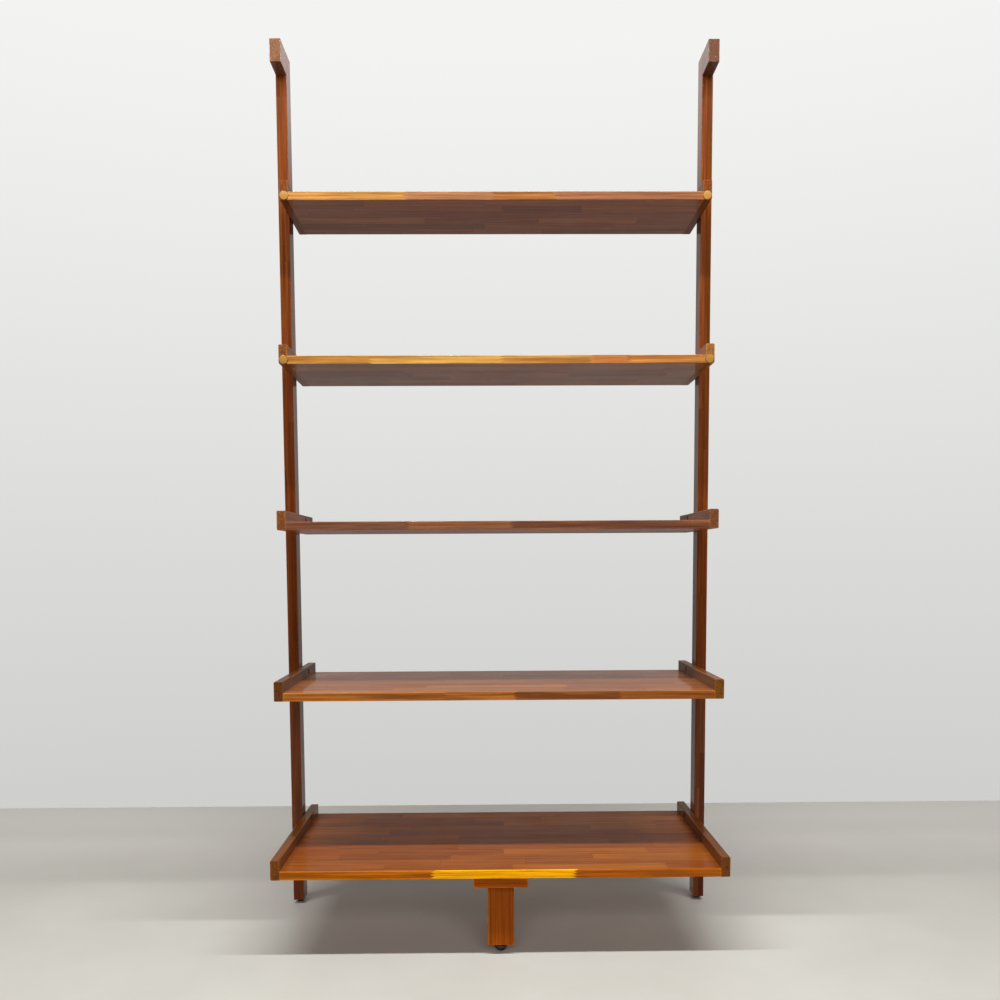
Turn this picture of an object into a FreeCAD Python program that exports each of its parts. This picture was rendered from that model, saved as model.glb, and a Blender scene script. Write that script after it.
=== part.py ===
import FreeCAD, Part
import math
import os

# Tall open shelf unit: two upright posts carry five shelves of growing depth, and a short leg
# stands under the front of the lowest, deepest one. Millimetres, +X right, +Y back, +Z up.
# The origin is on the floor, under the middle of the whole unit.

# Driving dimensions of the unit
shelf_width = 1000.0        # across a shelf's two side rails, and between the posts
post_width = 26.0
post_depth = 50.0
unit_height = 2088.0
shelf_pitch = 380.0
lowest_underside = 184.0
shelf_reach = (382.0, 303.0, 230.0, 168.0, 121.0)    # ahead of the posts, lowest shelf first
back_overhang = 125.0       # every shelf, behind the posts' front faces
board_thick = 19.0
rail_thick = 20.0
rail_height = 44.0
arm_reach = 66.0
arm_height = 52.0
soft_edge = 1.5             # round-over on exposed edges
rail_edge = 3.0             # larger round-over along a rail's outer edges

# Front leg
leg_size = 58.0
leg_plate_size = 118.0
leg_plate_thick = 22.5
leg_plate_setback = 4.0     # plate behind the board's front edge
leg_screw_spread = 28.0     # between the two screws that hold the leg to its plate
plate_screw_spread = 88.0   # between the screws that hold the plate to the board

# Dowels, bolts and screws
clearance = 0.05            # radial, in every bored joint
end_gap = 0.5               # left free at the ends of dowels, screws and plugs
dowel_radius = 4.0
dowel_in_board = 26.0
dowel_in_rail = 12.0
dowel_places = (0.15, 0.5, 0.85)     # along a rail, as fractions of its length
locator_in_rail = 10.0
locator_in_post = 14.0
locator_height = 10.0       # above a shelf's underside
bolt_height = 32.0          # above a shelf's underside
bolt_radius = 2.95
bolt_in_post = 14.0
bolt_head_radius = 6.0
bolt_head_height = 5.5
bolt_key_width = 5.0
bolt_key_depth = 3.0
bolt_clearance = 0.3        # radial, where a bolt passes through a rail
counterbore_radius = 7.2
counterbore_depth = 8.0
insert_radius = 5.0
insert_length = 16.0
insert_end = 1.0            # closed end of an insert
arm_dowel_length = 50.0
arm_dowel_spacing = 26.0
plug_head_radius = 10.5
plug_head_height = 2.6
plug_stem_radius = 5.0
plug_stem_length = 12.0
plug_inboard = 1.0          # plug axis from the rail's middle, towards the board
plug_rise = 0.5             # plug axis above the board's middle
screw_radius = 2.2
screw_head_radius = 4.4
screw_head_height = 3.0
screw_tip = 4.0
plate_screw_length = 35.0
leg_screw_length = 62.0

# Levelling feet: radii of the stem, the insert, the pad's top and its sole; the pad's height;
# the gap from the floor to the wood; and the empty bore above the stem
leg_foot = {"stem": 3.95, "insert": 6.0, "top": 14.0, "sole": 7.0, "height": 14.5, "gap": 22.0,
            "spare": 11.0}
post_foot = {"stem": 2.95, "insert": 4.5, "top": 11.0, "sole": 7.0, "height": 9.4, "gap": 10.0,
             "spare": 4.0}
foot_insert_length = 16.0
foot_stem_length = 34.0     # above the pad's socket floor
foot_stem_chamfer = 0.8
foot_socket_depth = 6.0
foot_bore_clearance = 0.5   # radial, above the insert
pad_rim = 2.4               # height of the pad's upright rim
pad_edge = 0.8              # chamfer above the rim
pad_waist = (0.58, 0.3)     # point of the pad's curve, as shares of its width and its height

# Derived places
side = shelf_width / 2.0
unit_depth = shelf_reach[0] + back_overhang
back = unit_depth / 2.0
post_front = back - back_overhang
post_centre = post_front + post_depth / 2.0
board_end = side - rail_thick
hands = {"left": -1.0, "right": 1.0}
x_axis = FreeCAD.Vector(1.0, 0.0, 0.0)
y_axis = FreeCAD.Vector(0.0, 1.0, 0.0)
z_axis = FreeCAD.Vector(0.0, 0.0, 1.0)


def block(x_pair, y_pair, z_pair):
    corner = FreeCAD.Vector(min(x_pair), min(y_pair), min(z_pair))
    sizes = [max(pair) - min(pair) for pair in (x_pair, y_pair, z_pair)]
    return Part.makeBox(sizes[0], sizes[1], sizes[2], corner)


def rod(radius, length, start, direction):
    return Part.makeCylinder(radius, length, FreeCAD.Vector(*start), direction)


def round_edges(solid, radius, chosen):
    """Round the edges whose centre passes the test chosen(point, direction)."""
    edges = []
    for edge in solid.Edges:
        if not isinstance(edge.Curve, Part.Line):
            continue
        first = edge.Vertexes[0].Point
        last = edge.Vertexes[-1].Point
        if chosen((first + last) * 0.5, (last - first).normalize()):
            edges.append(edge)
    return solid.makeFillet(radius, edges)


def along(direction, axis):
    return abs(direction.dot(axis)) > 0.99


def revolve_about_z(outline, x, y):
    """Turn a half profile of (radius, height) points about the upright line at x, y."""
    points = [FreeCAD.Vector(x + radius, y, height) for radius, height in outline]
    face = Part.Face(Part.makePolygon(points + points[:1]))
    return face.revolve(FreeCAD.Vector(x, y, 0.0), z_axis, 360.0)


def underside(level):
    return lowest_underside + level * shelf_pitch


def shelf_front(level):
    return post_front - shelf_reach[level]


def dowel_rows(level):
    front = shelf_front(level)
    return [back - place * (back - front) for place in dowel_places]


def post(hand):
    """Upright with eased long edges, bored for its inserts, locating dowels, arm and foot."""
    inner = hand * side
    solid = block((inner, inner + hand * post_width), (post_front, post_front + post_depth),
                  (post_foot["gap"], unit_height))
    solid = round_edges(solid, soft_edge, lambda point, way: along(way, z_axis))
    inward = x_axis * hand
    for level in range(len(shelf_reach)):
        height = underside(level)
        solid = solid.cut(rod(insert_radius, insert_length,
                              (inner, post_centre, height + bolt_height), inward))
        solid = solid.cut(rod(dowel_radius + clearance, locator_in_post,
                              (inner, post_centre, height + locator_height), inward))
    for height in arm_dowel_heights():
        start = (post_middle(hand), post_front, height)
        solid = solid.cut(rod(dowel_radius + clearance, arm_dowel_length / 2.0, start, y_axis))
    return solid.cut(foot_bore(post_middle(hand), post_centre, post_foot))


def post_middle(hand):
    return hand * (side + post_width / 2.0)


def arm_dowel_heights():
    middle = unit_height - arm_height / 2.0
    return (middle - arm_dowel_spacing / 2.0, middle + arm_dowel_spacing / 2.0)


def top_arm(hand):
    """Block on the front of a post's head, reaching forward, level with the post's top."""
    inner = hand * side
    solid = block((inner, inner + hand * post_width), (post_front - arm_reach, post_front),
                  (unit_height - arm_height, unit_height))
    solid = round_edges(solid, soft_edge, lambda point, way: point.y < post_front - 1.0)
    depth = arm_dowel_length / 2.0
    for height in arm_dowel_heights():
        start = (post_middle(hand), post_front - depth, height)
        solid = solid.cut(rod(dowel_radius + clearance, depth, start, y_axis))
    return solid


def arm_dowels():
    length = arm_dowel_length - 2.0 * end_gap
    start = post_front - length / 2.0
    return [rod(dowel_radius, length, (post_middle(hand), start, height), y_axis)
            for hand in hands.values() for height in arm_dowel_heights()]


def shelf_board(level):
    """Flat board between the rails, with eased front and back edges."""
    front = shelf_front(level)
    bottom = underside(level)
    solid = block((-board_end, board_end), (front, back), (bottom, bottom + board_thick))
    solid = round_edges(solid, soft_edge,
                        lambda point, way: along(way, x_axis))
    for hand in hands.values():
        for row in dowel_rows(level):
            start = (hand * board_end, row, bottom + board_thick / 2.0)
            hole = rod(dowel_radius + clearance, dowel_in_board, start, x_axis * -hand)
            solid = solid.cut(hole)
    if level == 0:
        for hole in plate_screw_holes():
            solid = solid.cut(hole)
    return solid


def shelf_rail(level, hand):
    """Side rail: flush with the board underneath, standing above it as a low wall."""
    front = shelf_front(level)
    bottom = underside(level)
    outer = hand * side
    inner = hand * board_end
    solid = block((outer, inner), (front, back), (bottom, bottom + rail_height))
    solid = round_edges(solid, rail_edge,
                        lambda point, way: along(way, y_axis) and abs(point.x) > side - 1.0)
    solid = round_edges(solid, soft_edge,
                        lambda point, way: along(way, y_axis) and abs(point.x) < board_end + 1.0
                        and point.z > bottom + board_thick)
    for row in dowel_rows(level):
        start = (inner, row, bottom + board_thick / 2.0)
        solid = solid.cut(rod(dowel_radius + clearance, dowel_in_rail, start, x_axis * hand))
    bolt_start = (inner, post_centre, bottom + bolt_height)
    solid = solid.cut(rod(counterbore_radius, counterbore_depth, bolt_start, x_axis * hand))
    solid = solid.cut(rod(bolt_radius + bolt_clearance, rail_thick, bolt_start, x_axis * hand))
    locator_start = (outer, post_centre, bottom + locator_height)
    solid = solid.cut(rod(dowel_radius + clearance, locator_in_rail, locator_start,
                          x_axis * -hand))
    if level in plugged_levels():
        solid = solid.cut(rod(plug_stem_radius + clearance, plug_stem_length + end_gap,
                              plug_place(level, hand), y_axis))
    return solid


def plugged_levels():
    """Only the two shallowest shelves have plugs in their rails' front ends."""
    return (len(shelf_reach) - 2, len(shelf_reach) - 1)


def plug_place(level, hand):
    across = hand * (side - rail_thick / 2.0 - plug_inboard)
    return (across, shelf_front(level), underside(level) + board_thick / 2.0 + plug_rise)


def button_plugs():
    """Mushroom plugs: a turned head over the rail's end and a stem in its hole."""
    plugs = []
    for level in plugged_levels():
        for hand in hands.values():
            x, y, z = plug_place(level, hand)
            head = rod(plug_head_radius, plug_head_height, (x, y - plug_head_height, z), y_axis)
            rim = [edge for edge in head.Edges
                   if isinstance(edge.Curve, Part.Circle) and edge.CenterOfMass.y < y - 1.0]
            head = head.makeFillet(soft_edge, rim)
            stem = rod(plug_stem_radius, plug_stem_length, (x, y, z), y_axis)
            plugs.append(head.fuse(stem).removeSplitter())
    return plugs


def board_dowels(level):
    """Dowels that join one board to its two rails."""
    length = dowel_in_board + dowel_in_rail - 2.0 * end_gap
    height = underside(level) + board_thick / 2.0
    dowels = []
    for hand in hands.values():
        start = hand * (board_end + dowel_in_rail - end_gap)
        for row in dowel_rows(level):
            dowels.append(rod(dowel_radius, length, (start, row, height), x_axis * -hand))
    return dowels


def locating_dowels():
    """Dowels between rail and post that stop a shelf turning about its bolts."""
    length = locator_in_rail + locator_in_post - 2.0 * end_gap
    dowels = []
    for level in range(len(shelf_reach)):
        height = underside(level) + locator_height
        for hand in hands.values():
            start = hand * (side - locator_in_rail + end_gap)
            dowels.append(rod(dowel_radius, length, (start, post_centre, height), x_axis * hand))
    return dowels


def connector_bolts():
    """Socket-head bolts through each rail into the post, heads sunk below the rail's face."""
    bolts = []
    for level in range(len(shelf_reach)):
        height = underside(level) + bolt_height
        for hand in hands.values():
            seat = hand * (board_end + counterbore_depth)
            outward = x_axis * hand
            head = rod(bolt_head_radius, bolt_head_height, (seat, post_centre, height),
                       outward * -1.0)
            shank_length = rail_thick - counterbore_depth + bolt_in_post
            shank = rod(bolt_radius, shank_length, (seat, post_centre, height), outward)
            face = seat - hand * bolt_head_height
            key = hex_socket(face, post_centre, height, outward)
            bolts.append(head.fuse(shank).cut(key).removeSplitter())
    return bolts


def hex_socket(x, y, z, direction):
    radius = bolt_key_width / math.sqrt(3.0)
    corners = []
    for corner in range(6):
        angle = math.radians(60.0 * corner)
        corners.append(FreeCAD.Vector(x, y + radius * math.cos(angle), z + radius * math.sin(angle)))
    face = Part.Face(Part.makePolygon(corners + corners[:1]))
    return face.extrude(direction * bolt_key_depth)


def threaded_inserts():
    """Sleeves in the posts that take the connector bolts."""
    inserts = []
    for level in range(len(shelf_reach)):
        height = underside(level) + bolt_height
        for hand in hands.values():
            start = (hand * side, post_centre, height)
            sleeve = rod(insert_radius, insert_length, start, x_axis * hand)
            bore = rod(bolt_radius + clearance, insert_length - insert_end, start, x_axis * hand)
            inserts.append(sleeve.cut(bore))
    return inserts


def leg_centre():
    return shelf_front(0) + leg_plate_setback + leg_plate_size / 2.0


def plate_screw_places():
    reach = plate_screw_spread / 2.0
    return [(sign_x * reach, leg_centre() + sign_y * reach)
            for sign_x in (-1.0, 1.0) for sign_y in (-1.0, 1.0)]


def plate_screw_holes():
    head_level = lowest_underside - leg_plate_thick
    return [rod(screw_radius + clearance, plate_screw_length + end_gap, (x, y, head_level), z_axis)
            for x, y in plate_screw_places()]


def leg_screw_places():
    reach = leg_screw_spread / 2.0
    return [(-reach, leg_centre()), (reach, leg_centre())]


def wood_screw(x, y, head_level, length, upward):
    """Countersunk screw: the flat of its head is at head_level, its tip points up or down."""
    way = 1.0 if upward else -1.0
    cone = screw_head_height
    outline = [(0.0, head_level), (screw_head_radius, head_level),
               (screw_radius, head_level + way * cone),
               (screw_radius, head_level + way * (length - screw_tip)),
               (0.0, head_level + way * length)]
    return revolve_about_z(outline, x, y)


def countersink(x, y, head_level, upward):
    way = 1.0 if upward else -1.0
    outline = [(0.0, head_level), (screw_head_radius + clearance, head_level),
               (screw_radius + clearance, head_level + way * screw_head_height),
               (0.0, head_level + way * screw_head_height)]
    return revolve_about_z(outline, x, y)


def leg_plate():
    """Square plate between the leg and the lowest board."""
    reach = leg_plate_size / 2.0
    middle = leg_centre()
    bottom = lowest_underside - leg_plate_thick
    solid = block((-reach, reach), (middle - reach, middle + reach), (bottom, lowest_underside))
    solid = round_edges(solid, soft_edge, lambda point, way: point.z < lowest_underside - 1.0)
    for hole in plate_screw_holes():
        solid = solid.cut(hole)
    for x, y in plate_screw_places():
        solid = solid.cut(countersink(x, y, bottom, True))
    for x, y in leg_screw_places():
        solid = solid.cut(countersink(x, y, lowest_underside, False))
        solid = solid.cut(rod(screw_radius + clearance, leg_plate_thick, (x, y, bottom), z_axis))
    return solid


def centre_leg():
    """Square leg below the plate, bored for its two screws and its foot."""
    reach = leg_size / 2.0
    middle = leg_centre()
    top = lowest_underside - leg_plate_thick
    solid = block((-reach, reach), (middle - reach, middle + reach), (leg_foot["gap"], top))
    solid = round_edges(solid, soft_edge, lambda point, way: point.z < top - 1.0)
    depth = leg_screw_length - leg_plate_thick + end_gap
    for x, y in leg_screw_places():
        solid = solid.cut(rod(screw_radius + clearance, depth, (x, y, top - depth), z_axis))
    return solid.cut(foot_bore(0.0, middle, leg_foot))


def plate_screws():
    head_level = lowest_underside - leg_plate_thick
    return [wood_screw(x, y, head_level, plate_screw_length, True)
            for x, y in plate_screw_places()]


def leg_screws():
    return [wood_screw(x, y, lowest_underside, leg_screw_length, False)
            for x, y in leg_screw_places()]


def foot_stem_bottom(foot):
    return foot["height"] - foot_socket_depth


def foot_bore(x, y, foot):
    """Stepped hole in the wood: the insert's seat, then a looser bore for the stem's end."""
    gap = foot["gap"]
    seat = rod(foot["insert"], foot_insert_length, (x, y, gap), z_axis)
    depth = foot_stem_bottom(foot) + foot_stem_length - gap + foot["spare"]
    spare = rod(foot["stem"] + foot_bore_clearance, depth, (x, y, gap), z_axis)
    return seat.fuse(spare)


def foot_insert(x, y, foot):
    start = (x, y, foot["gap"])
    sleeve = rod(foot["insert"], foot_insert_length, start, z_axis)
    return sleeve.cut(rod(foot["stem"] + clearance, foot_insert_length, start, z_axis))


def foot_stem(x, y, foot):
    """Screw that carries the pad and turns in the insert."""
    solid = rod(foot["stem"], foot_stem_length, (x, y, foot_stem_bottom(foot)), z_axis)
    tip = [edge for edge in solid.Edges
           if isinstance(edge.Curve, Part.Circle) and edge.CenterOfMass.z > foot["gap"]]
    return solid.makeChamfer(foot_stem_chamfer, tip)


def foot_pad(x, y, foot):
    """Bowl-shaped glide: widest at the top, curving in to a small flat sole."""
    top = foot["top"]
    sole = foot["sole"]
    height = foot["height"]
    bowl_top = height - pad_rim
    waist = FreeCAD.Vector(x + sole + pad_waist[0] * (top - sole), y, pad_waist[1] * bowl_top)
    corners = [FreeCAD.Vector(x, y, 0.0), FreeCAD.Vector(x + sole, y, 0.0),
               FreeCAD.Vector(x + top, y, bowl_top),
               FreeCAD.Vector(x + top, y, height - pad_edge),
               FreeCAD.Vector(x + top - pad_edge, y, height),
               FreeCAD.Vector(x, y, height)]
    edges = [Part.LineSegment(corners[0], corners[1]).toShape(),
             Part.Arc(corners[1], waist, corners[2]).toShape()]
    for first, last in zip(corners[2:], corners[3:] + corners[:1]):
        edges.append(Part.LineSegment(first, last).toShape())
    solid = Part.Face(Part.Wire(edges)).revolve(FreeCAD.Vector(x, y, 0.0), z_axis, 360.0)
    return solid.cut(rod(foot["stem"] + clearance, foot_socket_depth,
                         (x, y, foot_stem_bottom(foot)), z_axis))


def write(name, solids):
    shape = solids[0] if len(solids) == 1 else Part.makeCompound(solids)
    shape.exportStep(os.path.join("parts", name + ".step"))


def main():
    os.makedirs("parts", exist_ok=True)
    for name, hand in hands.items():
        write(name + "_post", [post(hand)])
        write(name + "_top_arm", [top_arm(hand)])
    write("top_arm_dowels", arm_dowels())
    for level in range(len(shelf_reach)):
        shelf = "shelf_" + str(level + 1)
        write(shelf + "_board", [shelf_board(level)])
        write(shelf + "_dowels", board_dowels(level))
        for name, hand in hands.items():
            write(shelf + "_" + name + "_rail", [shelf_rail(level, hand)])
    write("front_button_plugs", button_plugs())
    write("shelf_locating_dowels", locating_dowels())
    write("shelf_bolts", connector_bolts())
    write("post_threaded_inserts", threaded_inserts())
    write("leg_plate", [leg_plate()])
    write("leg_plate_screws", plate_screws())
    write("front_leg", [centre_leg()])
    write("front_leg_screws", leg_screws())
    feet = {"left": (post_middle(-1.0), post_centre, post_foot),
            "right": (post_middle(1.0), post_centre, post_foot),
            "front": (0.0, leg_centre(), leg_foot)}
    for name, place in feet.items():
        write(name + "_foot_insert", [foot_insert(*place)])
        write(name + "_foot_stem", [foot_stem(*place)])
        write(name + "_foot_pad", [foot_pad(*place)])


main()
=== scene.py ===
import math

import bmesh
import bpy
from mathutils import Matrix, Vector


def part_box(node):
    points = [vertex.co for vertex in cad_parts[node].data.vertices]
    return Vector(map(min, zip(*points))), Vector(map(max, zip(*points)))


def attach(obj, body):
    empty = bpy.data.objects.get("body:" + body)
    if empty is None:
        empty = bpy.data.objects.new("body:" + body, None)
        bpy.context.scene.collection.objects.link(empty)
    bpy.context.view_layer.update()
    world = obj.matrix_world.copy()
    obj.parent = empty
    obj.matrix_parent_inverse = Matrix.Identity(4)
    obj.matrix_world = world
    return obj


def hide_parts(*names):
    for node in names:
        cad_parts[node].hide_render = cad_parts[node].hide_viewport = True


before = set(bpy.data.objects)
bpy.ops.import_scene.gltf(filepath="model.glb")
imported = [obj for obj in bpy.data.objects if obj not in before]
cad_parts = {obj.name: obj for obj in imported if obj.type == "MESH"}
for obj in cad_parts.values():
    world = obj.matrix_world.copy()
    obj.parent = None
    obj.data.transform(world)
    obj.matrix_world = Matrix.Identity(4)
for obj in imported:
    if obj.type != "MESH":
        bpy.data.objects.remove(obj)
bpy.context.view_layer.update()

# Looks for a tall open shelf: varnished laminated hardwood, metres, +X right, +Y back, +Z up.
# The camera stands low in front of the unit and looks a little down, with the picture's centre
# moved up, as in a frame that was cropped from a taller one.
CAMERA_PLACE = Vector((-0.028, -2.378, 0.871))
CAMERA_YAW, CAMERA_PITCH, CAMERA_ROLL = -0.012, -0.082, 0.005
CAMERA_LENS = 36.0
CAMERA_SHIFT = (0.0014, 0.1438)

# Length and width of the glued staves, the teeth of their finger joints, and the thin lipping
# with its row number, which no row of staves has. Each row is shifted by up to ROW_SHIFT lengths,
# and each length is cut once more, between CUT_START and CUT_START + CUT_SPREAD of the way.
BOARD_STAVE = (0.62, 0.041)
POST_STAVE = (1.4, 0.013)
LEG_STAVE = (8.0, 0.029)
ROW_SHIFT = 9.0
CUT_START, CUT_SPREAD = 0.25, 0.5
TOOTH_LENGTH = 0.011
TOOTH_PITCH = 0.0063
LIPPING = 0.0032
LIPPING_ROW = -5.0

# How near a point has to be to a piece's underside or side face to lie on it
UNDERSIDE_SKIN = 0.0004
SIDE_SKIN = 0.002

# Grain: scale along it, scale across it, detail and distortion
FIGURE = (1.6, 52.0, 3.0, 0.6)
LINES = (5.0, 260.0, 3.0, 0.0)
FIBRES = (26.0, 1300.0, 2.0, 0.0)
DRIFT = (0.9, 9.0, 2.0, 0.4)
GRAIN_SOFTNESS = 0.55

# How far a stave's own random numbers move its grain along, across and through
GRAIN_MOVES = (40.0, 3.0, 3.0)

# What multiplies the wood's colour along glue lines, in dark streaks and on rubbed edges, whose
# lightening is partly rubbing and partly a painted highlight along the arris
GLUE_SHADE = (0.35, 0.28, 0.25, 1.0)
STREAK_SHADE = (0.42, 0.33, 0.30, 1.0)
RUBBED_AND_HIGHLIT_SHADE = (1.7, 1.62, 1.5, 1.0)
UNCHANGED = (1.0, 1.0, 1.0)

# Each kind of piece starts its random staves and grain from its own number
BOARD_SEED = 10.0
RAIL_SEED = 20.0
POST_SEED = 41.0
ARM_SEED = 47.0
LEG_SEED = 51.0
PLATE_SEED = 53.0
DOWEL_SEED = 61.0

PLUG_RADIUS = 0.0105
PLUG_HEIGHT = 0.0026
PLUG_RISE = 0.0005
PLUG_STEM = (0.005, 0.012)
RING_CENTRE = (0.013, 0.006)
RING_WIDTH = 0.0009
# Painted shadow ring just inside the plug head's edge: how far in it starts and where it ends
PLUG_RIM_SHADOW = 0.0016
PLUG_RIM_END = 0.0004

UNIT_BODY = "unit"
LEVELS = range(1, 6)
PLUG_LEVELS = (4, 5)

# The surround's brightness from straight down (0) to straight up (1): as the camera sees it, and
# as it lights and is reflected, where the low part is dimmer, as a room's floor and furniture
# are, and dimmer again to the front (-Y)
SEEN_SKY = [(0.0, 0.20), (0.36, 0.60), (0.5, 0.70), (0.72, 0.90), (1.0, 0.85)]
LIGHTING_SKY = [(0.0, 0.14), (0.36, 0.34), (0.47, 0.22), (0.55, 0.36), (0.62, 0.36), (0.66, 0.34),
                (0.7, 0.9), (0.8, 1.0)]
DIFFUSE_SHARE = 0.12
FRONT_SHARE = 0.3
SEEN_TINT = (1.0, 1.0, 0.985)
LIGHTING_TINT = (1.0, 0.91, 0.85)

# Lamps: where each stands, where it points, its width and height, and its watts. The tube shows
# in reflections, the fills don't.
TUBE = ((0.0, -0.9, 2.75), (0.0, -0.55, 1.0), (3.4, 0.10), 80.0)
FRONT_FILL = ((0.2, -4.2, 2.2), (0.0, 0.0, 0.8), (4.0, 1.4), 76.0)
BACK_FILL = ((0.0, 4.4, 1.3), (0.0, 0.0, 1.0), (4.0, 1.6), 12.0)
LAMP_COLOUR = (1.0, 0.99, 0.984)

FLOOR_REACH = 6.0
FLOOR_BACK = 1.16


def colour(red, green, blue):
    """Linear RGBA from a colour in 8-bit sRGB."""
    def linear(value):
        value = value / 255.0
        return value / 12.92 if value <= 0.04045 else ((value + 0.055) / 1.055) ** 2.4
    return (linear(red), linear(green), linear(blue), 1.0)


class Graph:
    """Short names for making the nodes of one material."""

    def __init__(self, name):
        self.material = bpy.data.materials.new(name)
        self.material.use_nodes = True
        self.tree = self.material.node_tree
        self.tree.nodes.clear()
        self.shader = self.node("ShaderNodeBsdfPrincipled")
        output = self.node("ShaderNodeOutputMaterial")
        self.tree.links.new(self.shader.outputs[0], output.inputs[0])

    def node(self, kind, **settings):
        made = self.tree.nodes.new(kind)
        for key, value in settings.items():
            setattr(made, key, value)
        return made

    def feed(self, socket, value):
        if isinstance(value, bpy.types.NodeSocket):
            self.tree.links.new(value, socket)
        else:
            socket.default_value = value

    def math(self, operation, first, second=0.0, third=None):
        made = self.node("ShaderNodeMath", operation=operation)
        self.feed(made.inputs[0], first)
        self.feed(made.inputs[1], second)
        if third is not None:
            self.feed(made.inputs[2], third)
        return made.outputs[0]

    def vector(self, x, y, z):
        made = self.node("ShaderNodeCombineXYZ")
        for socket, value in zip(made.inputs, (x, y, z)):
            self.feed(socket, value)
        return made.outputs[0]

    def split(self, vector):
        made = self.node("ShaderNodeSeparateXYZ")
        self.feed(made.inputs[0], vector)
        return made.outputs

    def noise(self, vector, scale=1.0, detail=2.0, roughness=0.5, distortion=0.0):
        made = self.node("ShaderNodeTexNoise")
        self.feed(made.inputs["Vector"], vector)
        made.inputs["Scale"].default_value = scale
        made.inputs["Detail"].default_value = detail
        made.inputs["Roughness"].default_value = roughness
        made.inputs["Distortion"].default_value = distortion
        return made.outputs[0]

    def random(self, vector):
        made = self.node("ShaderNodeTexWhiteNoise", noise_dimensions="3D")
        self.feed(made.inputs["Vector"], vector)
        return made.outputs["Value"], made.outputs["Color"]

    def ramp(self, value, stops, interpolation="LINEAR"):
        made = self.node("ShaderNodeValToRGB")
        elements = made.color_ramp.elements
        made.color_ramp.interpolation = interpolation
        while len(elements) < len(stops):
            elements.new(1.0)
        for element, (position, shade) in zip(elements, stops):
            element.position = position
            element.color = shade
        self.feed(made.inputs[0], value)
        return made.outputs[0]

    def smooth(self, value, low, high, out_low=0.0, out_high=1.0):
        made = self.node("ShaderNodeMapRange", interpolation_type="SMOOTHSTEP")
        self.feed(made.inputs["Value"], value)
        made.inputs["From Min"].default_value = low
        made.inputs["From Max"].default_value = high
        made.inputs["To Min"].default_value = out_low
        made.inputs["To Max"].default_value = out_high
        return made.outputs["Result"]

    def mix(self, factor, first, second, blend="MIX"):
        made = self.node("ShaderNodeMix", data_type="RGBA", blend_type=blend)
        self.feed(made.inputs[0], factor)
        self.feed(made.inputs[6], first)
        self.feed(made.inputs[7], second)
        return made.outputs[2]

    def blend(self, factor, first, second):
        made = self.node("ShaderNodeMix", data_type="FLOAT")
        self.feed(made.inputs[0], factor)
        self.feed(made.inputs[2], first)
        self.feed(made.inputs[3], second)
        return made.outputs[0]

    def length(self, first, second):
        squares = self.math("ADD", self.math("MULTIPLY", first, first),
                            self.math("MULTIPLY", second, second))
        return self.math("SQRT", squares)

    def object_place(self):
        return self.node("ShaderNodeTexCoord").outputs["Object"]

    def bump(self, height, strength, distance):
        made = self.node("ShaderNodeBump")
        made.inputs["Strength"].default_value = strength
        made.inputs["Distance"].default_value = distance
        self.feed(made.inputs["Height"], height)
        self.feed(self.shader.inputs["Normal"], made.outputs[0])

    def set(self, **values):
        names = {"base": "Base Color", "roughness": "Roughness", "metallic": "Metallic",
                 "specular": "Specular IOR Level", "coat": "Coat Weight",
                 "coat_roughness": "Coat Roughness", "coat_ior": "Coat IOR"}
        for key, value in values.items():
            self.feed(self.shader.inputs[names[key]], value)


def grey(value):
    return (value, value, value, 1.0)


def edge_distance(graph, place, box):
    """How far a point on a box's surface is from the nearest edge of that box."""
    nearest = []
    for axis, value in enumerate(graph.split(place)):
        from_low = graph.math("SUBTRACT", value, box[0][axis])
        from_high = graph.math("SUBTRACT", box[1][axis], value)
        nearest.append(graph.math("MINIMUM", from_low, from_high))
    lower = graph.math("MINIMUM", nearest[0], nearest[1])
    upper = graph.math("MAXIMUM", nearest[0], nearest[1])
    return graph.math("MAXIMUM", lower, graph.math("MINIMUM", upper, nearest[2]))


def lay_staves(graph, along, across, through, piece_width, stave, seed):
    """Rows of staves with finger-jointed ends. Gives the place along the grain, shifted by the
    joints' teeth, each stave's number and row, and how far off the nearest glue line is."""
    length, width = stave
    zigzag = graph.math("PINGPONG", through, TOOTH_PITCH / 2.0)
    shift = graph.math("MULTIPLY", zigzag, TOOTH_LENGTH / (TOOTH_PITCH / 2.0))
    toothed = graph.math("ADD", along, shift)
    row = graph.math("FLOOR", graph.math("DIVIDE", across, width))
    row_random, _ = graph.random(graph.vector(row, seed, 3.7))
    run = graph.math("ADD", graph.math("DIVIDE", toothed, length),
                     graph.math("MULTIPLY", row_random, ROW_SHIFT))
    cell = graph.math("FLOOR", run)
    within = graph.math("SUBTRACT", run, cell)
    cut, _ = graph.random(graph.vector(row, cell, seed + 0.5))
    cut = graph.math("MULTIPLY_ADD", cut, CUT_SPREAD, CUT_START)
    second = graph.math("GREATER_THAN", within, cut)
    number = graph.math("MULTIPLY_ADD", cell, 2.0, second)
    end_gap = graph.math("MINIMUM", graph.math("ABSOLUTE", graph.math("SUBTRACT", within, cut)),
                         graph.math("MINIMUM", within, graph.math("SUBTRACT", 1.0, within)))
    end_gap = graph.math("MULTIPLY", end_gap, length)
    side_gap = graph.math("PINGPONG", across, width)
    side_gap = graph.math("MINIMUM", side_gap, graph.math("SUBTRACT", width, side_gap))
    from_face = graph.math("MINIMUM", across, graph.math("SUBTRACT", piece_width, across))
    side_gap = graph.math("ADD", side_gap, graph.math("LESS_THAN", from_face, SIDE_SKIN))
    return toothed, number, row, graph.math("MINIMUM", end_gap, side_gap)


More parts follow.
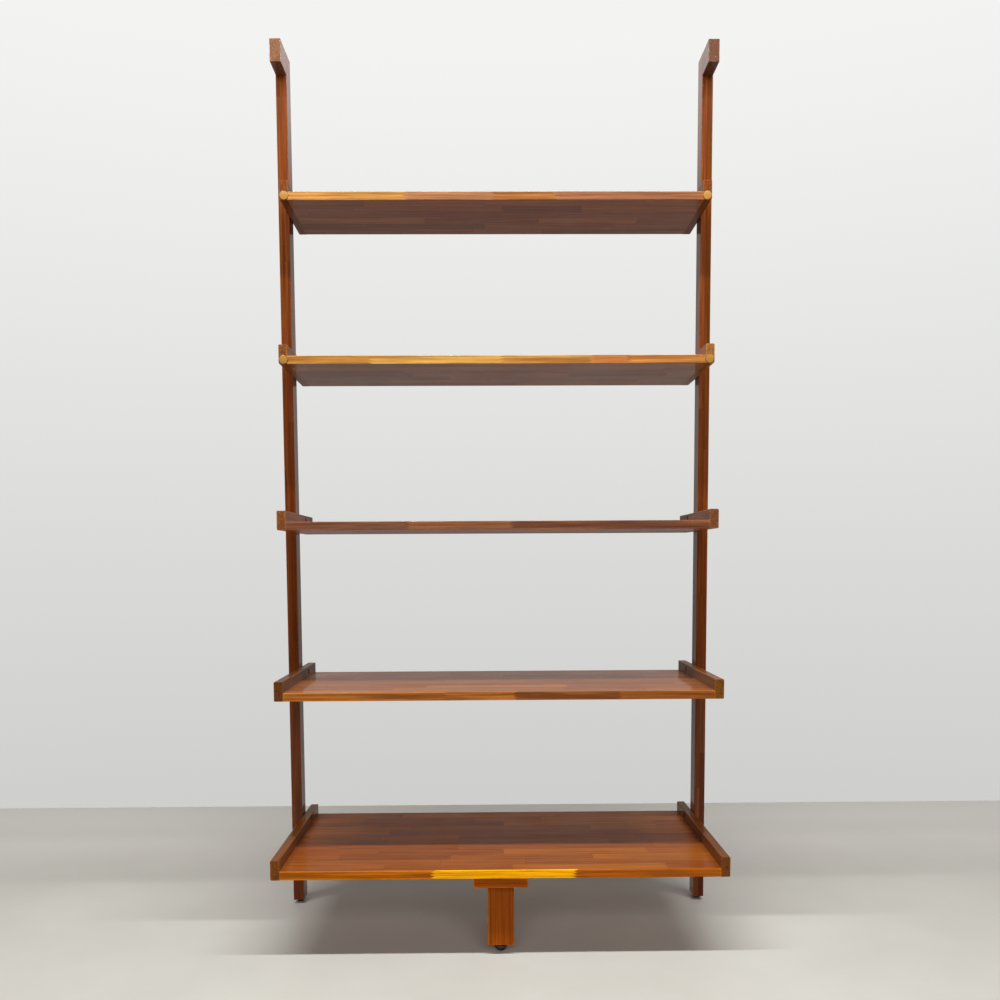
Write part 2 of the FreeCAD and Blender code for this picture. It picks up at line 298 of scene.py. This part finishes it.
def lay_lipping(graph, toothed, front_staves):
    """The lipping's pieces along the grain: each one's number, and how far off a joint is."""
    piece = 0.0
    joint_gap = 1.0
    for end, _ in front_staves[:-1]:
        piece = graph.math("ADD", piece, graph.math("GREATER_THAN", toothed, end))
        from_joint = graph.math("ABSOLUTE", graph.math("SUBTRACT", toothed, end))
        joint_gap = graph.math("MINIMUM", joint_gap, from_joint)
    return piece, joint_gap


def colour_lipping(graph, shade, toothed, across, on_lipping, figure, low, high, front_staves):
    """Each piece of the lipping in its own colour, with a glue line behind it."""
    span = high - low
    starts = [0.0] + [(end - low) / span for end, _ in front_staves[:-1]]
    place = graph.math("DIVIDE", graph.math("SUBTRACT", toothed, low), span)
    stops = [(start, item[1]) for start, item in zip(starts, front_staves)]
    picked = graph.ramp(place, stops, "CONSTANT")
    picked = graph.mix(graph.smooth(figure, 0.46, 0.62, 0.0, 0.45), picked, shade)
    shade = graph.mix(on_lipping, shade, picked)
    from_glue = graph.math("ABSOLUTE", graph.math("SUBTRACT", across, LIPPING))
    return graph.mix(graph.smooth(from_glue, 0.0001, 0.0005, 0.5, 0.0), shade, GLUE_SHADE,
                     "MULTIPLY")


def grain_noises(graph, along, across, through, scatter):
    """Figure, lines, fibres and drift, stretched along the grain and moved by scatter."""
    along, across, through = (
        graph.math("MULTIPLY_ADD", offset, move, part)
        for offset, move, part in zip(graph.split(scatter), GRAIN_MOVES, (along, across, through)))
    made = []
    for lengthwise, crosswise, detail, distortion in (FIGURE, LINES, FIBRES, DRIFT):
        vector = graph.vector(graph.math("MULTIPLY", along, lengthwise),
                              graph.math("MULTIPLY", across, crosswise),
                              graph.math("MULTIPLY", through, crosswise))
        made.append(graph.noise(vector, 1.0, detail, GRAIN_SOFTNESS, distortion))
    return made


def rubbed_and_highlit_edges(graph, place, box, worn_and_highlit):
    """How much the edges are lightened, from 0 to worn, in an uneven band along the box's edges:
    partly rubbing, partly a painted highlight along the arris.
    """
    rub = graph.noise(place, 34.0, 3.0, 0.6)
    reach = graph.math("MULTIPLY_ADD", rub, 0.0052, -0.0006)
    inside = graph.math("SUBTRACT", reach, edge_distance(graph, place, box))
    return graph.smooth(inside, -0.0006, 0.0010, 0.0, worn_and_highlit)


def wood(name, axes, box, palette, seed, stave=None, front_staves=None, streak=0.5, worn_and_highlit=0.5,
         varnish=0.4, film=1.38, flecks=0.0, underside=UNCHANGED):
    """Varnished wood. axes names the directions along, across and through the grain. stave is the
    length and width of the glued staves, and front_staves gives the colours of the thin lipping
    on the front edge as (where each piece ends along the grain, colour). varnish is how much of
    it there is, film its IOR, and underside multiplies the colour of the lower face, a painted
    reflection of the pale surroundings. The edges are lightened in an uneven band, partly by
    rubbing and partly by a painted highlight along the arris."""
    graph = Graph(name)
    place = graph.object_place()
    parts = dict(zip("XYZ", graph.split(place)))
    along, across, through = (parts[axis] for axis in axes)
    low = [box[0]["XYZ".index(axis)] for axis in axes]
    high = [box[1]["XYZ".index(axis)] for axis in axes]
    across = graph.math("SUBTRACT", across, low[1])
    through = graph.math("SUBTRACT", through, low[2])
    seam = None
    toothed = along
    if stave:
        toothed, number, row, seam = lay_staves(graph, along, across, through, high[1] - low[1],
                                                stave, seed)
        if front_staves:
            on_lipping = graph.math("LESS_THAN", across, LIPPING)
            piece, joint_gap = lay_lipping(graph, toothed, front_staves)
            number = graph.blend(on_lipping, number, piece)
            row = graph.blend(on_lipping, row, LIPPING_ROW)
            seam = graph.blend(on_lipping, seam, joint_gap)
        tone, scatter = graph.random(graph.vector(number, row, seed))
    else:
        tone, scatter = graph.random(graph.vector(seed, 2.0, 5.0))

    figure, lines, fibres, drift = grain_noises(graph, along, across, through, scatter)
    tone = graph.math("MULTIPLY_ADD", graph.math("SUBTRACT", figure, 0.5), 0.8, tone)
    tone = graph.math("MULTIPLY_ADD", graph.math("SUBTRACT", drift, 0.5), 0.9, tone)
    stops = [(i / (len(palette) - 1.0), shade) for i, shade in enumerate(palette)]
    shade = graph.ramp(tone, stops)
    if front_staves:
        shade = colour_lipping(graph, shade, toothed, across, on_lipping, figure, low[0], high[0],
                               front_staves)
    # Painted reflection: the lower face is tinted greyer and bluer, standing in for the pale
    # surroundings it reflects
    on_underside = graph.math("LESS_THAN", through, UNDERSIDE_SKIN)
    shade = graph.mix(on_underside, shade, underside + (1.0,), "MULTIPLY")
    dark_streaks = graph.smooth(figure, 0.52, 0.72, 0.0, streak)
    shade = graph.mix(dark_streaks, shade, STREAK_SHADE, "MULTIPLY")
    line_shade = graph.ramp(lines, [(0.34, grey(0.62)), (0.66, grey(1.26))])
    shade = graph.mix(1.0, shade, line_shade, "MULTIPLY")
    fibre_shade = graph.ramp(fibres, [(0.25, grey(0.80)), (0.6, grey(1.06))])
    shade = graph.mix(1.0, shade, fibre_shade, "MULTIPLY")
    if seam is not None:
        glue = graph.smooth(seam, 0.0002, 0.0007, 0.55, 0.0)
        shade = graph.mix(glue, shade, GLUE_SHADE, "MULTIPLY")
    # Edges lightened in an uneven band: partly rubbing, partly a painted highlight along the arris
    wear_and_highlight = rubbed_and_highlit_edges(graph, place, box, worn_and_highlit)
    shade = graph.mix(wear_and_highlight, shade, graph.mix(1.0, shade, RUBBED_AND_HIGHLIT_SHADE, "MULTIPLY"))
    if flecks:
        chips = graph.smooth(graph.noise(place, 260.0, 1.0), 0.735, 0.76, 0.0, flecks)
        shade = graph.mix(chips, shade, colour(226, 206, 182))

    smears = graph.noise(place, 7.0, 4.0, 0.6)
    gloss = graph.math("MULTIPLY_ADD", wear_and_highlight, 0.15, graph.smooth(smears, 0.3, 0.75, 0.30, 0.46))
    graph.set(base=shade, roughness=gloss, specular=0.03, coat=varnish, coat_roughness=0.08,
              coat_ior=film)
    relief = graph.math("MULTIPLY_ADD", lines, 0.5, graph.math("MULTIPLY", fibres, 0.3))
    if seam is not None:
        relief = graph.math("ADD", relief, graph.smooth(seam, 0.0, 0.0006, 0.0, 0.8))
    graph.bump(relief, 0.22, 0.0002)
    return graph.material


def end_grain(name, shade, dark):
    """Turned plug: growth rings round a point beside its axis, with fine open pores, and a painted
    shadow ring just inside the head's edge.
    """
    graph = Graph(name)
    place = graph.object_place()
    x, _, z = graph.split(place)
    bend = graph.noise(place, 160.0, 2.0)
    radius = graph.length(graph.math("ADD", x, RING_CENTRE[0]),
                          graph.math("ADD", z, RING_CENTRE[1]))
    radius = graph.math("MULTIPLY_ADD", bend, 0.0012, radius)
    rings = graph.smooth(graph.math("PINGPONG", radius, RING_WIDTH), 0.0, RING_WIDTH)
    pores = graph.noise(place, 2600.0, 2.0, 0.6)
    base = graph.mix(graph.math("MULTIPLY", rings, 0.45), shade, dark)
    # Painted shadow: a dark ring round the head's edge, where the head meets the rail
    rim = graph.smooth(graph.length(x, z), PLUG_RADIUS - PLUG_RIM_SHADOW,
                       PLUG_RADIUS - PLUG_RIM_END, 0.0, 0.85)
    base = graph.mix(rim, base, colour(84, 44, 14))
    base = graph.mix(1.0, base, graph.ramp(pores, [(0.35, grey(0.72)), (0.6, grey(1.05))]),
                     "MULTIPLY")
    graph.set(base=base, specular=0.35, coat=0.5, coat_roughness=0.12,
              roughness=graph.smooth(pores, 0.3, 0.7, 0.36, 0.5))
    graph.bump(pores, 0.25, 0.0002)
    return graph.material


def metal(name, shade, rough_low, rough_high, streak_scale):
    """Turned or plated metal with fine marks and duller patches."""
    graph = Graph(name)
    place = graph.object_place()
    marks = graph.noise(place, streak_scale, 3.0, 0.6)
    patches = graph.noise(place, 260.0, 2.0, 0.5)
    base = graph.mix(graph.smooth(patches, 0.35, 0.7, 0.0, 0.45), shade,
                     tuple(part * 0.55 for part in shade[:3]) + (1.0,))
    graph.set(base=base, metallic=1.0, roughness=graph.smooth(marks, 0.3, 0.7, rough_low,
                                                              rough_high))
    graph.bump(marks, 0.2, 0.0001)
    return graph.material


def black_plastic(name):
    """Moulded glossy black plastic, scuffed and dusty near the floor."""
    graph = Graph(name)
    place = graph.object_place()
    height = graph.split(place)[2]
    scuffs = graph.noise(place, 420.0, 4.0, 0.65)
    low = graph.smooth(height, 0.0005, 0.0045, 1.0, 0.0)
    dust = graph.math("MULTIPLY", low, graph.smooth(scuffs, 0.42, 0.68, 0.0, 0.4))
    base = graph.mix(dust, colour(14, 14, 15), colour(96, 92, 86))
    graph.set(base=base, specular=0.8,
              roughness=graph.math("MULTIPLY_ADD", dust, 0.4,
                                   graph.smooth(scuffs, 0.3, 0.8, 0.08, 0.2)))
    graph.bump(scuffs, 0.12, 0.00015)
    return graph.material


# Colours of the wood, darkest to lightest
BOARD_TONES = [colour(134, 70, 30), colour(146, 76, 32), colour(156, 84, 32), colour(160, 88, 38),
               colour(166, 92, 36), colour(178, 104, 42)]
RAIL_TONES = [colour(92, 48, 14), colour(106, 56, 16), colour(118, 66, 20), colour(124, 72, 24)]
POST_TONES = [colour(88, 38, 8), colour(105, 51, 16), colour(117, 58, 26), colour(105, 55, 12)]
ARM_TONES = [colour(94, 60, 44), colour(110, 74, 54), colour(122, 84, 60), colour(114, 80, 56)]
LEG_TONES = [colour(148, 68, 0), colour(162, 79, 0), colour(170, 88, 0)]

# Lipping of each board: where each piece ends along X, and its colour
FRONT_STAVES = {
    1: [(-0.145, colour(188, 103, 0)), (0.166, colour(245, 170, 0)), (0.5, colour(167, 84, 0))],
    2: [(-0.117, colour(166, 97, 36)), (0.041, colour(173, 104, 41)), (0.271, colour(120, 67, 31)),
        (0.5, colour(147, 82, 31))],
    3: [(-0.2, colour(119, 79, 60)), (0.035, colour(137, 87, 58)), (0.5, colour(108, 67, 48))],
    4: [(-0.285, colour(174, 121, 55)), (0.017, colour(195, 145, 70)), (0.222, colour(192, 138, 67)),
        (0.308, colour(174, 108, 55)), (0.5, colour(188, 125, 61))],
    5: [(-0.206, colour(174, 124, 64)), (0.0, colour(151, 102, 67)), (0.144, colour(162, 112, 66)),
        (0.5, colour(138, 89, 60))],
}

# How each board's tones differ from BOARD_TONES in red, green and blue, how its underside differs
# again (a painted reflection of the pale surroundings, greyer and bluer), and its varnish
BOARD_LOOKS = {
    1: ((0.88, 0.84, 0.45), UNCHANGED, 0.22),
    2: ((0.97, 1.08, 0.85), UNCHANGED, 0.6),
    3: (UNCHANGED, UNCHANGED, 0.4),
    4: ((0.95, 1.0, 0.9), (0.78, 1.0, 2.1), 0.6),
    5: ((0.95, 1.0, 0.9), (0.82, 1.02, 2.3), 0.55),
}

# How each rail's tones differ from RAIL_TONES: the left one, then the right one
RAIL_TINTS = {
    1: ((1.1, 1.1, 0.5), (0.95, 0.92, 0.35)),
    2: ((0.62, 0.7, 1.1), (0.92, 1.05, 1.1)),
    3: ((1.5, 1.8, 4.2), (0.95, 1.15, 3.4)),
    4: ((1.7, 2.2, 4.2), (1.5, 2.0, 4.0)),
    5: ((0.95, 0.92, 1.8), (0.95, 0.92, 1.8)),
}


def tinted(palette, tint):
    return [tuple(part * share for part, share in zip(shade, tint + (1.0,))) for shade in palette]


def give(node, material):
    """Every material slot of a CAD node gets the one material."""
    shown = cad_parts[node]
    if not shown.material_slots:
        shown.data.materials.append(material)
    for slot in shown.material_slots:
        slot.link = "OBJECT"
        slot.material = material


def finish_shelves():
    for level in LEVELS:
        node = "shelf_%d_board" % level
        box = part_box(node)
        tint, underside, varnish = BOARD_LOOKS[level]
        give(node, wood(node + "_wood", "XYZ", box, tinted(BOARD_TONES, tint), BOARD_SEED + level,
                        stave=BOARD_STAVE, front_staves=FRONT_STAVES[level],
                        varnish=varnish, underside=underside))
        for hand, tint in zip(("left", "right"), RAIL_TINTS[level]):
            node = "shelf_%d_%s_rail" % (level, hand)
            seed = RAIL_SEED + 2.0 * level + (hand == "right")
            give(node, wood(node + "_wood", "YZX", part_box(node),
                            tinted(RAIL_TONES, tint), seed, streak=0.6, worn_and_highlit=0.7))


def finish_uprights():
    for number, hand in enumerate(("left", "right")):
        node = hand + "_post"
        give(node, wood(node + "_wood", "ZXY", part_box(node), POST_TONES, POST_SEED + number,
                        stave=POST_STAVE, varnish=1.0, film=1.25))
        node = hand + "_top_arm"
        give(node, wood(node + "_wood", "YXZ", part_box(node), ARM_TONES, ARM_SEED + number, worn_and_highlit=0.8,
                        varnish=0.8, flecks=0.8 * number))


def finish_leg():
    give("front_leg", wood("front_leg_wood", "ZXY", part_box("front_leg"), LEG_TONES, LEG_SEED,
                           stave=LEG_STAVE, worn_and_highlit=1.0, varnish=0.2))
    give("leg_plate", wood("leg_plate_wood", "XYZ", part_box("leg_plate"), LEG_TONES, PLATE_SEED,
                           worn_and_highlit=1.0, varnish=0.2))


def finish_fittings():
    beech = wood("dowel_beech", "XYZ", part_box("shelf_1_dowels"), [colour(208, 176, 128),
                 colour(220, 190, 142)], DOWEL_SEED, streak=0.2)
    brass = metal("insert_brass", colour(196, 160, 92), 0.28, 0.45, 900.0)
    steel = metal("zinc_steel", colour(176, 178, 180), 0.25, 0.42, 1400.0)
    black = metal("black_oxide_steel", colour(52, 50, 50), 0.32, 0.5, 1100.0)
    plastic = black_plastic("foot_black")
    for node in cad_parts:
        if "dowels" in node:
            give(node, beech)
        elif "insert" in node:
            give(node, brass)
        elif node == "shelf_bolts":
            give(node, black)
        elif "screws" in node or "stem" in node:
            give(node, steel)
        elif "foot_pad" in node:
            give(node, plastic)


def lathe(name, outline, centre, segments=72):
    """Closed turned piece about the Y direction, from (radius, y) points on its outside."""
    mesh = bmesh.new()
    rings = []
    for radius, y in outline:
        if radius == 0.0:
            rings.append([mesh.verts.new((0.0, y, 0.0))])
            continue
        turn = [2.0 * math.pi * k / segments for k in range(segments)]
        rings.append([mesh.verts.new((radius * math.cos(a), y, radius * math.sin(a)))
                      for a in turn])
    for first, second in zip(rings, rings[1:]):
        for k in range(segments):
            following = (k + 1) % segments
            corners = [first[k % len(first)], second[k % len(second)],
                       second[following % len(second)], first[following % len(first)]]
            corners = list(dict.fromkeys(corners))
            mesh.faces.new(corners)
    bmesh.ops.recalc_face_normals(mesh, faces=mesh.faces)
    data = bpy.data.meshes.new(name)
    mesh.to_mesh(data)
    mesh.free()
    for face in data.polygons:
        face.use_smooth = True
    made = bpy.data.objects.new(name, data)
    made.location = centre
    bpy.context.collection.objects.link(made)
    return made


def plug_outline():
    """Domed head with a rounded rim, an undercut below it, and a chamfered stem."""
    stem_radius, stem_length = PLUG_STEM
    rim = 0.0011
    crown = 0.0007
    points = [(0.0, -PLUG_HEIGHT)]
    for step in range(1, 7):
        share = step / 7.0
        points.append((share * (PLUG_RADIUS - rim), -PLUG_HEIGHT + crown * share * share))
    for step in range(7):
        angle = math.radians(90.0 * step / 6.0)
        points.append((PLUG_RADIUS - rim + rim * math.sin(angle),
                       -PLUG_HEIGHT + crown + rim * (1.0 - math.cos(angle))))
    points += [(PLUG_RADIUS, -0.0005), (PLUG_RADIUS - 0.0005, 0.0), (stem_radius, 0.0),
               (stem_radius, stem_length - 0.001), (stem_radius - 0.001, stem_length),
               (0.0, stem_length)]
    return points


def make_plugs():
    """Turned button plugs in the front ends of the two top shelves' rails."""
    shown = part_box("front_button_plugs")
    material = end_grain("plug_end_grain", colour(176, 128, 52), colour(128, 82, 24))
    for level in PLUG_LEVELS:
        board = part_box("shelf_%d_board" % level)
        for hand, side in (("left", -1.0), ("right", 1.0)):
            across = side * (shown[1][0] - PLUG_RADIUS)
            up = (board[0][2] + board[1][2]) / 2.0 + PLUG_RISE
            plug = lathe("button_plug_%s_%d" % (hand, level),
                         plug_outline(),
                         (across, board[0][1], up))
            plug.data.materials.append(material)
            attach(plug, UNIT_BODY)
            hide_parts("front_button_plugs")


def make_camera():
    data = bpy.data.cameras.new("camera")
    camera = bpy.data.objects.new("camera", data)
    bpy.context.collection.objects.link(camera)
    turn = (Matrix.Rotation(CAMERA_YAW, 3, "Z") @ Matrix.Rotation(CAMERA_PITCH, 3, "X")
            @ Matrix.Rotation(CAMERA_ROLL, 3, "Y"))
    right, forward, up = turn.col[0], turn.col[1], turn.col[2]
    axes = Matrix((right, up, -forward)).transposed()
    camera.matrix_world = Matrix.Translation(CAMERA_PLACE) @ axes.to_4x4()
    data.lens = CAMERA_LENS
    data.sensor_width = 36.0
    data.shift_x, data.shift_y = CAMERA_SHIFT
    data.clip_start = 0.05
    data.clip_end = 100.0
    bpy.context.scene.camera = camera


def make_floor():
    """Plain pale floor that ends behind the unit, where a wall would stand, with painted light that
    makes it paler towards the back.
    """
    mesh = bmesh.new()
    corners = [(-FLOOR_REACH, -FLOOR_REACH), (FLOOR_REACH, -FLOOR_REACH),
               (FLOOR_REACH, FLOOR_BACK), (-FLOOR_REACH, FLOOR_BACK)]
    mesh.faces.new([mesh.verts.new((x, y, 0.0)) for x, y in corners])
    data = bpy.data.meshes.new("floor")
    mesh.to_mesh(data)
    mesh.free()
    floor = bpy.data.objects.new("floor", data)
    bpy.context.collection.objects.link(floor)
    graph = Graph("pale_floor")
    place = graph.object_place()
    clouds = graph.noise(place, 2.2, 5.0, 0.6)
    pale = graph.ramp(clouds, [(0.3, colour(206, 206, 198)), (0.7, colour(216, 216, 209))])
    # Painted light: the floor turns near-white towards the back, where the lamps light it less
    painted_light_to_back = graph.smooth(graph.split(place)[1], 0.3, 1.1)
    graph.set(base=graph.mix(painted_light_to_back, pale, colour(252, 252, 246)), roughness=0.5, specular=0.3)
    floor.data.materials.append(graph.material)


def make_world():
    """Soft pale surround. The camera sees it plain; it lights and is reflected by its own ramp."""
    world = bpy.data.worlds.new("studio")
    bpy.context.scene.world = world
    world.use_nodes = True
    tree = world.node_tree
    tree.nodes.clear()

    def node(kind, **settings):
        made = tree.nodes.new(kind)
        for key, value in settings.items():
            setattr(made, key, value)
        return made

    def sky(stops, tint):
        ramp = node("ShaderNodeValToRGB")
        elements = ramp.color_ramp.elements
        while len(elements) < len(stops):
            elements.new(1.0)
        for element, (position, value) in zip(elements, stops):
            element.position = position
            element.color = tuple(value * part for part in tint) + (1.0,)
        tree.links.new(height.outputs[0], ramp.inputs[0])
        return ramp.outputs[0]

    direction = node("ShaderNodeTexCoord")
    parts = node("ShaderNodeSeparateXYZ")
    height = node("ShaderNodeMath", operation="MULTIPLY_ADD")
    height.inputs[1].default_value = 0.5
    height.inputs[2].default_value = 0.5
    path = node("ShaderNodeLightPath")
    pick = node("ShaderNodeMix", data_type="RGBA")
    strength = node("ShaderNodeMath", operation="MULTIPLY_ADD")
    strength.inputs[1].default_value = DIFFUSE_SHARE - 1.0
    strength.inputs[2].default_value = 1.0
    facing = node("ShaderNodeMapRange", interpolation_type="SMOOTHSTEP")
    facing.inputs["From Min"].default_value = -0.3
    facing.inputs["From Max"].default_value = 0.3
    facing.inputs["To Min"].default_value = FRONT_SHARE
    dimmed = node("ShaderNodeMix", data_type="RGBA", blend_type="MULTIPLY")
    dimmed.inputs[0].default_value = 1.0
    background = node("ShaderNodeBackground")
    output = node("ShaderNodeOutputWorld")
    tree.links.new(direction.outputs["Generated"], parts.inputs[0])
    tree.links.new(parts.outputs[2], height.inputs[0])
    tree.links.new(path.outputs["Is Camera Ray"], pick.inputs[0])
    tree.links.new(parts.outputs[1], facing.inputs["Value"])
    tree.links.new(sky(LIGHTING_SKY, LIGHTING_TINT), dimmed.inputs[6])
    tree.links.new(facing.outputs["Result"], dimmed.inputs[7])
    tree.links.new(dimmed.outputs[2], pick.inputs[6])
    tree.links.new(sky(SEEN_SKY, SEEN_TINT), pick.inputs[7])
    tree.links.new(path.outputs["Is Diffuse Ray"], strength.inputs[0])
    tree.links.new(pick.outputs[2], background.inputs[0])
    tree.links.new(strength.outputs[0], background.inputs[1])
    tree.links.new(background.outputs[0], output.inputs[0])


def area_light(name, place, target, size, power):
    data = bpy.data.lights.new(name, "AREA")
    data.shape = "RECTANGLE"
    data.size, data.size_y = size
    data.energy = power
    data.color = LAMP_COLOUR
    light = bpy.data.objects.new(name, data)
    light.location = place
    aim = Vector(target) - Vector(place)
    light.rotation_euler = aim.to_track_quat("-Z", "Y").to_euler()
    bpy.context.collection.objects.link(light)
    return light


def make_lights():
    area_light("ceiling_tube", *TUBE)
    for name, lamp in (("front_fill", FRONT_FILL), ("back_fill", BACK_FILL)):
        area_light(name, *lamp).visible_glossy = False


finish_shelves()
finish_uprights()
finish_leg()
finish_fittings()
make_plugs()
make_floor()
make_world()
make_lights()
make_camera()
bpy.context.scene.view_settings.view_transform = "Standard"
